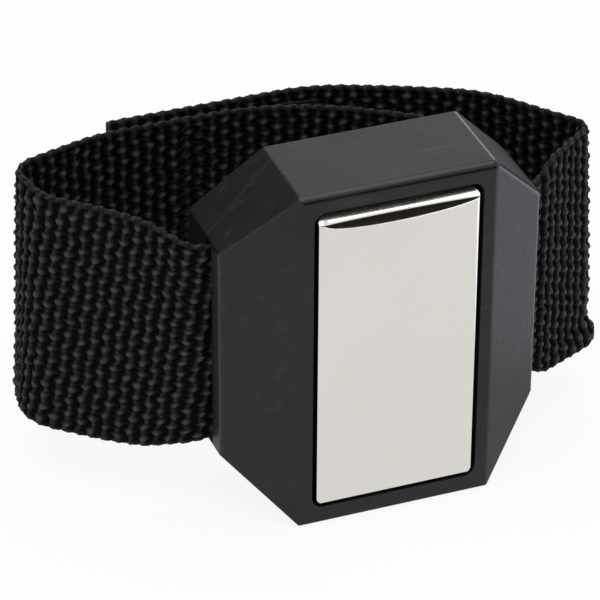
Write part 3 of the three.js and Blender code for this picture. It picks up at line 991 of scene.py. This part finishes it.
# stitches: rows round the hook tape on the flap's outer face, and a zig-zag seam inside the loop
stitches = {
    "length": 2.2,
    "gap": 0.3,
    "thick": 0.26,
    "flatness": 0.5,
    "high": 0.78,
    "row": 15.6,
    "fromEnds": 3.2,
    "zigzagX": -16.6,
    "zigzag": (1.6, 5.4),
    "zigzagHalf": 18.4,
    "samples": 400,
}


def stitchMesh():
    bm = bmesh.new()
    bmesh.ops.create_uvsphere(bm, u_segments=8, v_segments=6, radius=0.5 * mm)
    mesh = bpy.data.meshes.new("stitch")
    bm.to_mesh(mesh)
    bm.free()
    return mesh


def stitchAt(s, z, side, length, slant):
    thick = stitches["thick"]
    shape = Matrix.Diagonal((length, thick, stitches["flatness"] * thick, 1))
    placed = strapFrame(s, 2 * z / strap["width"], side * stitches["high"], side)
    return placed @ Matrix.Rotation(slant, 4, "Z") @ shape


def addStitches():
    mesh = stitchMesh()
    step = stitches["length"] + stitches["gap"]
    first = strapLength - tapes["flap"] + stitches["fromEnds"]
    last = strapLength - stitches["fromEnds"]
    frames = []
    for s in np.arange(first, last, step):
        for z in (-stitches["row"], stitches["row"]):
            frames.append(stitchAt(s + step / 2, z, 1, stitches["length"], 0))
    for z in np.arange(-stitches["row"], stitches["row"] - step / 2, step):
        for s in (first, last):
            frames.append(stitchAt(s, z + step / 2, 1, stitches["length"], math.pi / 2))
    bm = bmesh.new()
    repeat(bm, mesh, frames)
    piece = addPiece("stitch_flap", bm, threadFinish)
    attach(piece, "flap")

    lengths = np.linspace(legStarts[2], legStarts[3], stitches["samples"])
    middle = float(np.interp(-stitches["zigzagX"], -strapAt(lengths)[0], lengths))
    pitch, width = stitches["zigzag"]
    frames = []
    top = stitches["zigzagHalf"]
    length = math.hypot(width / 2, pitch)
    for row in range(round(2 * top / pitch)):
        z = top - (row + 0.5) * pitch
        for half in (-1, 1):
            slant = half * math.atan2(pitch, width / 2)
            frames.append(stitchAt(middle + half * width / 4, z, -1, length, slant))
    bm = bmesh.new()
    repeat(bm, mesh, frames)
    bpy.data.meshes.remove(mesh)
    piece = addPiece("stitch_zigzag", bm, threadFinish)
    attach(piece, "left_back")


addStitches()
print("stitches sewn")

# stage: pale floor that reads white, soft light all round and from above, cards for the shiny faces
stage = {
    "floor": 4.0,
    "floorGlow": 0.9,
    "floorShade": 0.92,
    "floorZ": -0.00005,
    "matt": 0.9,
    "rays": ("Is Camera Ray", "Is Glossy Ray", "Is Transmission Ray"),
    "world": 0.33,
    "shine": 1.0,
    "card": (0.22, 0.142),
    "cardPlace": (0.072, -0.2),
    "cardColour": (0.026, 0.021, 0.0165),
    "cardTurn": 21,
    "cardLift": 0.0005,
    "flag": (0.46, 0.4),
    "flagColour": (0.012, 0.0095, 0.0075),
    "flagTurn": 35,
    "flagPlace": (-0.22, 0.32, 0.14),
    "reflector": (0.34, 0.36),
    "reflectorPlace": (0.22, -0.1),
    "reflectorGlow": 1.6,
    "rimCard": (0.24, 0.12),
    "rimPlace": (0.27, 0.42, 0.16),
    "rimGlow": 3.0,
    "shade": (0.3, 0.34),
    "shadePlace": (0.17, 0.23),
    "shadeGlow": 0.1,
    "sky": (0.6, 0.45),
    "skyPlace": (0.21, 0.55, 0.38),
    "skyGlow": 1.0,
    "skyTurn": -30,
    "tint": (0.95, 0.98, 1.07),
    "softboxPlace": (-0.02, -0.02, 0.75),
    "softboxSize": (0.9, 0.9),
    "softboxPower": 5.2,
    "aim": (0, 0.01, 0.03),
}


def seenDirectly(material):
    # 1 for rays from the camera, also by way of a shiny or clear surface, else 0
    path = addNode(material, "ShaderNodeLightPath")
    first, *others = stage["rays"]
    source, output = path, first
    for name in others:
        most = addNode(material, "ShaderNodeMath", operation="MAXIMUM")
        link(material, source, output, most, 0)
        link(material, path, name, most, 1)
        source, output = most, "Value"
    return source, output


def addFloor():
    bm = bmesh.new()
    bmesh.ops.create_grid(bm, x_segments=4, y_segments=4, size=stage["floor"])
    material, shader = newMaterial("paleFloor")
    shader.inputs["Base Color"].default_value = (*grey(stage["floorShade"]), 1)
    shader.inputs["Roughness"].default_value = stage["matt"]
    shader.inputs["Specular IOR Level"].default_value = 0
    glow = addNode(material, "ShaderNodeEmission", {"Strength": 1.0})
    mix = addNode(material, "ShaderNodeMixShader")
    share = addNode(material, "ShaderNodeMath", {1: stage["floorGlow"]}, operation="MULTIPLY")
    seen, output = seenDirectly(material)
    link(material, seen, output, share, 0)
    link(material, share, "Value", mix, "Fac")
    link(material, shader, "BSDF", mix, 1)
    link(material, glow, "Emission", mix, 2)
    end = material.node_tree.nodes["Material Output"]
    link(material, mix, "Shader", end, "Surface")
    mesh = bpy.data.meshes.new("floor")
    bm.to_mesh(mesh)
    bm.free()
    mesh.materials.append(material)
    floor = bpy.data.objects.new("floor", mesh)
    floor.location.z = stage["floorZ"]
    scene.collection.objects.link(floor)


def addCard(name, size, place, turn, colour, glow):
    # a studio card that only shiny surfaces see
    bm = bmesh.new()
    bmesh.ops.create_grid(bm, x_segments=2, y_segments=2, size=0.5)
    material, shader = newMaterial(name)
    shader.inputs["Base Color"].default_value = (*colour, 1)
    shader.inputs["Roughness"].default_value = stage["matt"]
    shader.inputs["Specular IOR Level"].default_value = 0
    shader.inputs["Emission Color"].default_value = (*stage["tint"], 1)
    shader.inputs["Emission Strength"].default_value = glow
    bm.transform(Matrix.Translation(place) @ turn @ Matrix.Diagonal((*size, 1, 1)))
    mesh = bpy.data.meshes.new(name)
    bm.to_mesh(mesh)
    bm.free()
    mesh.materials.append(material)
    card = bpy.data.objects.new(name, mesh)
    card.visible_camera = False
    card.visible_diffuse = False
    card.visible_shadow = False
    scene.collection.objects.link(card)


def addCards():
    upright = Matrix.Rotation(math.radians(90), 4, "X")
    front = Matrix.Rotation(math.radians(stage["cardTurn"]), 4, "Z") @ upright
    back = Matrix.Rotation(math.radians(stage["flagTurn"]), 4, "Z") @ upright
    cardMiddle = (*stage["cardPlace"], stage["card"][1] / 2)
    addCard("darkCard", stage["card"], cardMiddle, front, stage["cardColour"], 0)
    addCard("flag", stage["flag"], stage["flagPlace"], back, stage["flagColour"], 0)
    onFloor = (*stage["reflectorPlace"], stage["cardLift"])
    addCard("reflector", stage["reflector"], onFloor, Matrix(), grey(0), stage["reflectorGlow"])
    onFloor = (*stage["shadePlace"], stage["cardLift"])
    addCard("shade", stage["shade"], onFloor, Matrix(), grey(0), stage["shadeGlow"])
    facing = Matrix.Rotation(math.radians(stage["skyTurn"]), 4, "Z") @ upright
    addCard("sky", stage["sky"], stage["skyPlace"], facing, grey(0), stage["skyGlow"])
    addCard("rimCard", stage["rimCard"], stage["rimPlace"], facing, grey(0), stage["rimGlow"])


def addSoftbox():
    data = bpy.data.lights.new("softboxTop", "AREA")
    data.shape = "RECTANGLE"
    data.size, data.size_y = stage["softboxSize"]
    data.energy = stage["softboxPower"]
    lamp = bpy.data.objects.new("softboxTop", data)
    lamp.location = stage["softboxPlace"]
    aim = Vector(stage["aim"]) - Vector(stage["softboxPlace"])
    lamp.rotation_euler = aim.to_track_quat("-Z", "Y").to_euler()
    scene.collection.objects.link(lamp)


def addWorld():
    world = bpy.data.worlds.new("tent")
    world.use_nodes = True
    background = world.node_tree.nodes["Background"]
    background.inputs["Color"].default_value = (1, 1, 1, 1)
    levels = {"To Min": stage["world"], "To Max": stage["shine"]}
    level = addNode(world, "ShaderNodeMapRange", levels)
    seen, output = seenDirectly(world)
    link(world, seen, output, level, "Value")
    link(world, level, "Result", background, "Strength")
    scene.world = world


addFloor()
addCards()
addWorld()
addSoftbox()
print("stage set")
